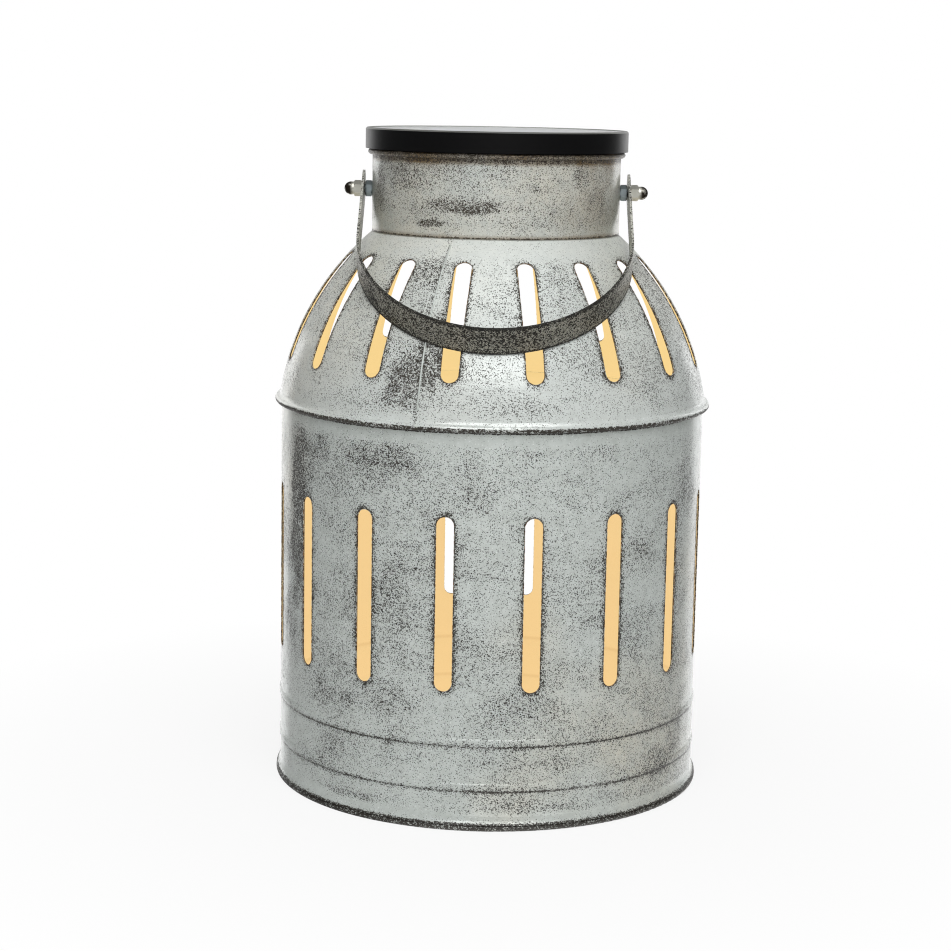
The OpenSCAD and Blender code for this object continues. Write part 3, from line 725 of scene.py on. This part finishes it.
def weld_seam(name, angle, start, end, lay, finish):
    """lay(reach) gives the radius and height where the reach runs from start to end."""
    shape = Shape(name, Angle=angle, Start=start, End=end, Height=weld_h, Unevenness=weld_h)
    line = shape.node("GeometryNodeCurvePrimitiveLine", {}, {"End": (0, 0, 1)})
    stepped = shape.node("GeometryNodeResampleCurve", {}, {"Curve": line, "Count": weld_steps})
    _, _, share = shape.axes(shape.place)
    reach = shape.size("Start") + share * (shape.size("End") - shape.size("Start"))
    radius, height = lay(reach)
    turn = shape.size("Angle")
    place = shape.point(turn.only("SINE") * radius, 0 - turn.only("COSINE") * radius, height)
    laid = shape.node("GeometryNodeSetPosition", {}, {"Geometry": stepped, "Position": place})
    section = shape.node("GeometryNodeCurvePrimitiveCircle", {},
                         {"Resolution": weld_sides, "Radius": shape.size("Height")})
    bead = shape.node("GeometryNodeCurveToMesh", {},
                      {"Curve": laid, "Profile Curve": section, "Fill Caps": True})
    real = shape.node("GeometryNodeRealizeInstances", {}, {"Geometry": bead})
    rough = shape.roughen(real, 500, shape.size("Unevenness"))
    smooth = shape.node("GeometryNodeSetShadeSmooth", {}, {"Geometry": rough})
    shape.grow(smooth, finish, "churn", "zinc")


def up_the_drum(reach):
    return reach * 0 + drum_r, reach


def up_the_arc(reach):
    radius = reach.only("COSINE") * arc_r + arc_centre[0]
    return radius, reach.only("SINE") * arc_r + arc_centre[1]


def up_the_neck(reach):
    return reach * 0 + neck_r, reach


def nowhere(finish):
    return finish.z * 0


def weld_wear(finish):
    """A seam stands proud, so the rag wiped it nearly clean."""
    return nowhere(finish), nowhere(finish), nowhere(finish) + 0.7


zinc_weld = zinc("zinc_weld", nowhere, weld_wear)
weld_seam("drum_seam", math.pi, 11 * MM, seam_z - 4 * MM, up_the_drum, zinc_weld)
weld_seam("shoulder_seam", shoulder_seam, math.radians(11), math.radians(48), up_the_arc, zinc_weld)
weld_seam("neck_seam", math.pi, neck_z + 1.5 * MM, neck_z + 41 * MM, up_the_neck, zinc_weld)

# %% [markdown]
# ## The strap and the pivot hardware
# The bail is bare steel strap under the same wash, so it is darker and peppered
# more densely. The nuts are bluish zinc plate; the nuts and the acorn nuts'
# domes turn dark towards their outer ends. Where the strap runs across is
# measured in its own plane, which leans at rest.
# %% Strap steel
bright_from, bright_to = pivot_z - 57 * MM, pivot_z - 7 * MM
edge_from, edge_to = 6.4 * MM, 8.2 * MM


def strap_finish():
    """Darkest in the bend, at the edges and on the left; lighter near the pivots, where fewer
    flecks stay. The steel's tone, dark in the bend and pale near the pivots, is painted shade and
    light.
    """
    finish = Finish("strap_steel", Metallic=0.3, IOR=1.5)
    clouds = finish.noise(40, 4, 0.65)
    high = finish.z.rise(bright_from, bright_to)
    across = finish.y * math.cos(bail_lean) - (finish.z - pivot_z) * math.sin(bail_lean)
    edge = abs(across).rise(edge_from, edge_to) * (1 - high * 0.6)
    # Painted light and shade: the bare steel is paler towards the lit upper ends and darker in the
    # bend.
    bare = finish.blend(srgb(142, 140, 128), srgb(214, 214, 204), high)
    left = finish.x.rise(50 * MM, -40 * MM) * (1 - high)
    cover = 0.37 + clouds.rise(0.3, 0.7) * 0.3 - high * 0.33 + edge * 0.45 + left * 0.12
    dark = (flecks(finish, 1900, cover) * 0.94).most(flecks(finish, 1100, cover * 0.5) * 0.98)
    light = flecks(finish, 1700, 0.18) * 0.6
    finish.feed(Base_Color=finish.blend(finish.blend(bare, salt_colour, light * 0.5),
                                        wash_colour, dark))
    finish.feed(Roughness=0.42 + dark * 0.3)
    finish.bump(finish.noise(900, 2, 0.6) - dark * 0.5, 0.08 * MM)
    return finish


dress("bail_strap", strap_finish())
print("strap leans", round(math.degrees(bail_lean), 1), "degrees at rest")


# %% Plated hardware
def plated_finish(name, colour, outer_colour, dark_from, dark_to):
    """Plated steel that turns darker from one distance out along X to another."""
    finish = Finish(name, Metallic=0.9)
    cloud = finish.noise(260, 3, 0.6)
    outer_dark = abs(finish.x).rise(dark_from, dark_to) * cloud.rise(0.3, 0.5)
    finish.feed(Base_Color=finish.blend(colour, outer_colour, outer_dark))
    finish.feed(Roughness=0.28 + cloud * 0.2 + outer_dark * 0.25)
    finish.bump(cloud, 0.05 * MM)
    return finish


nut_metal = plated_finish("nut_plate", srgb(178, 190, 194), srgb(62, 60, 62),
                          73.8 * MM, 75.2 * MM)
acorn_metal = plated_finish("acorn_plate", srgb(222, 221, 210), srgb(42, 36, 29),
                            81.5 * MM, 84.0 * MM)
dress("neck_nuts", nut_metal)
dress("pivot_bolts", nut_metal)
dress("acorn_nuts", acorn_metal)
print("hardware dressed")

# %% [markdown]
# ## The light unit
# A black moulding carries the solar panel under a clear plate. Moulded plastic
# is never a flat colour: it has a faint grain, a soft sheen and dust.
# %% Plastics
def moulded(name, colour, roughness, **constants):
    """Any small moulded or stamped part: slow clouds in colour and sheen, and a fine grain."""
    finish = Finish(name, **constants)
    cloud = finish.noise(90, 3, 0.6)
    fine = finish.noise(1600, 2, 0.5)
    darker = tuple(c * 0.75 for c in colour)
    finish.feed(Base_Color=finish.blend(colour, darker, cloud.rise(0.35, 0.7)))
    finish.feed(Roughness=roughness + cloud * 0.12 - 0.06)
    finish.bump(fine, 0.03 * MM)
    return finish


def housing_finish():
    """Black plastic with a pale band round its top rim, on the rim's inner face and, weaker, on its
    top.
    """
    finish = moulded("cap_plastic", srgb(6, 6, 7), 0.36, Specular_IOR_Level=0.18)
    add_polar(finish)
    rim = finish.z.rise(rim_top - 2.2 * MM, rim_top - 1.8 * MM)
    pale_rim = rim * finish.facing_out.rise(-0.3, -0.5).most(finish.facing_up.rise(0.5, 0.8) * 0.35)
    plastic = finish.shader.inputs["Base Color"].links[0].from_socket
    finish.feed(Base_Color=finish.blend(Wire(finish, plastic), srgb(176, 178, 172), pale_rim))
    return finish


black_plastic = moulded("black_plastic", srgb(8, 8, 9), 0.3, Specular_IOR_Level=0.26)
dress("cap_housing", housing_finish())
dress("lower_cover", black_plastic)
small_parts = [("switch_case", "switch_metal", (178, 178, 172), 0.3, 0.9),
               ("switch_knob", "switch_plastic", (20, 20, 20), 0.45, 0.0),
               ("cover_seal", "seal", (70, 72, 72), 0.6, 0.0),
               ("panel_wires", "red_wire", (170, 24, 20), 0.4, 0.0),
               ("battery_wires", "black_wire", (22, 22, 22), 0.4, 0.0),
               ("cover_screws", "screw", (190, 190, 186), 0.3, 0.9),
               ("battery_contacts", "contact", (196, 190, 178), 0.3, 0.9),
               ("circuit_board", "board", (18, 82, 44), 0.4, 0.0),
               ("panel_board", "panel", (16, 20, 34), 0.35, 0.0)]
for node, name, colour, roughness, metallic in small_parts:
    dress(node, moulded(name, srgb(*colour), roughness, Metallic=metallic))
print("housing, cover and", len(small_parts), "small parts dressed")

# %% [markdown]
# The plate over the panel is clear plastic with a slightly milky surface. The
# diffuser is frosted, and it glows with the LED behind it: a small emission
# stands for light that would have to find its way through the frosting.
# %% The clear and frosted parts
diffuser_glow = 0.5
led_glow = 1.5


def clear_finish():
    finish = Finish("clear_plastic", Base_Color=(0.94, 0.97, 0.96, 1), IOR=1.49,
                    Transmission_Weight=1.0)
    dust = finish.noise(700, 3, 0.7).rise(0.6, 0.8)
    finish.feed(Roughness=0.29 + dust * 0.1)
    finish.bump(finish.noise(26, 2, 0.5), 0.2 * MM)
    return finish


dress("clear_cover", clear_finish())


def frosted_finish():
    finish = Finish("frosted", IOR=1.49, Base_Color=(0.9, 0.88, 0.82, 1), Transmission_Weight=0.5)
    finish.feed(Roughness=0.5 + finish.noise(500, 2) * 0.1)
    finish.shader.inputs["Emission Color"].default_value = (1, 0.78, 0.45, 1)
    finish.glow(diffuser_glow)
    return finish


dress("diffuser", frosted_finish())
led_lens = moulded("led_lens", srgb(250, 224, 160), 0.15, Transmission_Weight=0.4)
led_lens.shader.inputs["Emission Color"].default_value = (1, 0.7, 0.35, 1)
led_lens.glow(led_glow)
dress("led", led_lens)
print("plate, diffuser and LED dressed")


# %% [markdown]
# The cells' fingers and bus bars are lines at a fixed pitch. The renderer sends
# no lamp light through the clear plate, so the cells get a little light of
# their own; without it the panel would be black.
# %% The solar panel
finger_pitch = 2.1 * MM
bar_pitch = 17 * MM
cell_glow = 0.35
sleeve_from, sleeve_to = 22.5 * MM, 23 * MM


def stripes(along, pitch, full, none):
    """Lines across a direction; full and none are shares of the pitch from a line's middle."""
    steps = along / pitch
    return abs(steps.only("FRACT") - 0.5).rise(none, full)


def cell_finish():
    """Dark blue silicon with fine silver fingers and bus bars."""
    finish = Finish("cell", IOR=1.5)
    crystals = finish.node("ShaderNodeTexVoronoi", {}, {"Vector": finish.place, "Scale": 260},
                           "Color")
    silver = stripes(finish.x, finger_pitch, 0.03, 0.06)
    silver = silver.most(stripes(finish.y, bar_pitch, 0.04, 0.05))
    silicon = finish.blend(srgb(14, 26, 70), srgb(36, 58, 128), crystals)
    colour = finish.blend(silicon, srgb(170, 172, 176), silver)
    finish.feed(Base_Color=colour, Emission_Color=colour)
    finish.glow(cell_glow)
    finish.feed(Roughness=0.25 + silver * 0.2)
    return finish


def sleeve_finish():
    """The cell's printed sleeve, with bare metal at both ends."""
    finish = Finish("battery_sleeve", IOR=1.5)
    ends = abs(finish.x).rise(sleeve_from, sleeve_to)
    finish.feed(Base_Color=finish.blend(srgb(28, 120, 72), srgb(200, 200, 196), ends))
    finish.feed(Roughness=0.3 + finish.noise(200) * 0.1)
    finish.feed(Metallic=ends * 0.9)
    return finish


dress("solar_cells", cell_finish())
dress("battery", sleeve_finish())
print("cells and battery dressed")

# %% [markdown]
# ## Stage, light and camera
# A white floor runs to the horizon, and three soft boxes light the lantern: a
# broad key high in front, a weak fill behind it and a back light for the rim.
# Camera rays see a white studio, and so do rays that went through the clear
# plate. The object itself is lit by the lamps and a dim grey sky only, so that
# its colours come out as they are written. The bright strips down both sides
# of a shiny can are the studio's back wall in its reflection. The floor is in
# the way of that wall in the lower half, so its own reflection shows the wall
# too, inside the wedge between the wall's two edges.
# %% Shader trees for floor and sky
def ray(kit, kind):
    """1 for rays of one kind."""
    return kit.node("ShaderNodeLightPath", {}, {}, f"Is {kind} Ray")


def over(kit, under, cover, share):
    """One shader laid over another."""
    return kit.node("ShaderNodeMixShader", {}, {"Fac": share, "Shader": under,
                                                "Shader_001": cover})


def ramp(kit, number, source, target=(0.0, 1.0)):
    """A straight ramp from one range to another."""
    sockets = {"Value": number, "From Min": source[0], "From Max": source[1],
               "To Min": target[0], "To Max": target[1]}
    return kit.node("ShaderNodeMapRange", {}, sockets)


def plain_kit(owner):
    """The empty node tree of a material or a world."""
    owner.use_nodes = True
    owner.node_tree.nodes.clear()
    return Kit(owner.node_tree)


def close(kit, kind, shader):
    """Ends a shader tree with its output node."""
    kit.tree.links.new(shader.socket, kit.tree.nodes.new(kind).inputs["Surface"])


print("floor and sky tools ready")

# %% Floor
floor_half = 6.0
paper_white = 0.8
wall_glow = 1.6
# The wedge: the middle and half the width of its blunt front, and the outward
# direction of its sides.
wedge_centre = 0.015
wedge_front = -0.049
wedge_half = 0.112
wedge_normal = (0.785, 0.62)
wedge_soft = (-0.014, 0.01)
# The shadow: full up to one distance, gone at the other.
shadow_near, shadow_far = 0.13, 0.4
shadow_white = 0.86


def floor_finish():
    """White to the camera, with the soft shadow left near the object."""
    material = bpy.data.materials.new("studio_floor")
    kit = plain_kit(material)
    place = kit.node("ShaderNodeTexCoord", {}, {}, "Object")
    x, y, _ = kit.axes(place)
    distance = kit.node("ShaderNodeVectorMath", {"operation": "LENGTH"}, {"Vector": place},
                        "Value")
    fade = ramp(kit, distance, (shadow_near, shadow_far), (shadow_white, 1.0))
    aside = abs(x - wedge_centre) - wedge_half
    inwards = (y - wedge_front) * wedge_normal[1] - aside * wedge_normal[0]
    in_wedge = inwards.rise(*wedge_soft)
    paper = kit.node("ShaderNodeBsdfDiffuse", {}, {"Color": (*[paper_white] * 3, 1)})
    white = kit.node("ShaderNodeEmission", {}, {"Strength": 1.0})
    wall = kit.node("ShaderNodeEmission", {}, {"Strength": wall_glow})
    seen = over(kit, paper, white, ray(kit, "Camera") * fade)
    close(kit, "ShaderNodeOutputMaterial", over(kit, seen, wall, in_wedge * ray(kit, "Glossy")))
    return material


floor_mesh = bpy.data.meshes.new("floor")
corners = [(x * floor_half, y * floor_half, 0) for x, y in [(-1, -1), (1, -1), (1, 1), (-1, 1)]]
floor_mesh.from_pydata(corners, [], [(0, 1, 2, 3)])
floor_mesh.materials.append(floor_finish())
floor = bpy.data.objects.new("floor", floor_mesh)
bpy.context.scene.collection.objects.link(floor)
print("floor is", 2 * floor_half, "m wide")

# %% World
ambient_strength = 0.18
# The wall's edge, as the Y of a direction, and how it brightens aside.
wall_edge = (0.72, 0.77)
wall_aside = (0.1, 0.6)
wall_strength = (0.8, 2.2)


def studio_sky():
    """Dim for the object, white to the camera, and a back wall for reflections."""
    world = bpy.data.worlds.new("studio")
    kit = plain_kit(world)
    x, y, _ = kit.axes(kit.node("ShaderNodeTexCoord", {}, {}, "Generated"))
    behind = ramp(kit, y, wall_edge)
    strengths = [ambient_strength, 1.0, ramp(kit, abs(x), wall_aside, wall_strength)]
    dim, white, wall = (kit.node("ShaderNodeBackground", {},
                                 {"Color": (1, 1, 1, 1), "Strength": strength})
                        for strength in strengths)
    lit = over(kit, dim, wall, ray(kit, "Glossy") * behind)
    seen = ray(kit, "Camera").most(ray(kit, "Transmission"))
    close(kit, "ShaderNodeOutputWorld", over(kit, lit, white, seen))
    return world


bpy.context.scene.world = studio_sky()
print("sky lights the object with", ambient_strength)


# %% Lamps
lamp_target = Vector((0, 0, 0.2))


def softbox(name, place, size, watts, mirrored):
    """A rectangular lamp that faces the lantern; only a mirrored one shows in reflections."""
    lamp = bpy.data.lights.new(name, "AREA")
    lamp.shape = "RECTANGLE"
    lamp.size, lamp.size_y = size
    lamp.energy = watts
    box = bpy.data.objects.new(name, lamp)
    box.location = place
    box.rotation_euler = (lamp_target - Vector(place)).to_track_quat("-Z", "Y").to_euler()
    box.visible_glossy = mirrored
    bpy.context.scene.collection.objects.link(box)


softbox("key", (0.1, -1.25, 1.72), (1.6, 1.75), 31.5, mirrored=True)
softbox("fill", (0.1, -2.3, 0.7), (1.8, 1.4), 11, mirrored=False)
softbox("back", (-0.2, 2.2, 1.0), (2.0, 1.6), 12, mirrored=False)
print("three soft boxes lit")

# %% [markdown]
# The camera stands a little above the lantern's shoulder and looks down. The
# flecks are about as fine as a pixel. A denoiser that smooths its own guides
# first would merge them into worms, so it gets the guides as they are, and the
# pixel filter is a narrow one.
# %% Camera
camera_place = (0, -1.3122, 0.40414)
camera_yaw, camera_pitch, camera_roll = -0.388, 9.868, 1.03
lens_mm = 86.0


def aim(yaw_deg, pitch_deg, roll_deg):
    """Camera axes from yaw, downward pitch and roll, as a rotation matrix."""
    yaw, pitch, roll = (math.radians(a) for a in (yaw_deg, pitch_deg, roll_deg))
    ahead = Vector((math.sin(yaw) * math.cos(pitch), math.cos(yaw) * math.cos(pitch),
                    -math.sin(pitch)))
    right = Vector((math.cos(yaw), -math.sin(yaw), 0))
    up = right.cross(ahead)
    turned_right = right * math.cos(roll) + up * math.sin(roll)
    turned_up = up * math.cos(roll) - right * math.sin(roll)
    return Matrix((turned_right, turned_up, -ahead)).transposed()


camera_data = bpy.data.cameras.new("camera")
camera_data.lens = lens_mm
camera_data.clip_start = 0.05
camera = bpy.data.objects.new("camera", camera_data)
axes = aim(camera_yaw, camera_pitch, camera_roll)
camera.matrix_world = Matrix.Translation(camera_place) @ axes.to_4x4()
bpy.context.scene.collection.objects.link(camera)
bpy.context.scene.camera = camera
bpy.context.scene.view_settings.view_transform = "Standard"
bpy.context.scene.cycles.filter_width = 1.1
bpy.context.scene.cycles.denoising_prefilter = "NONE"
print("camera at", [round(v, 3) for v in camera.location])
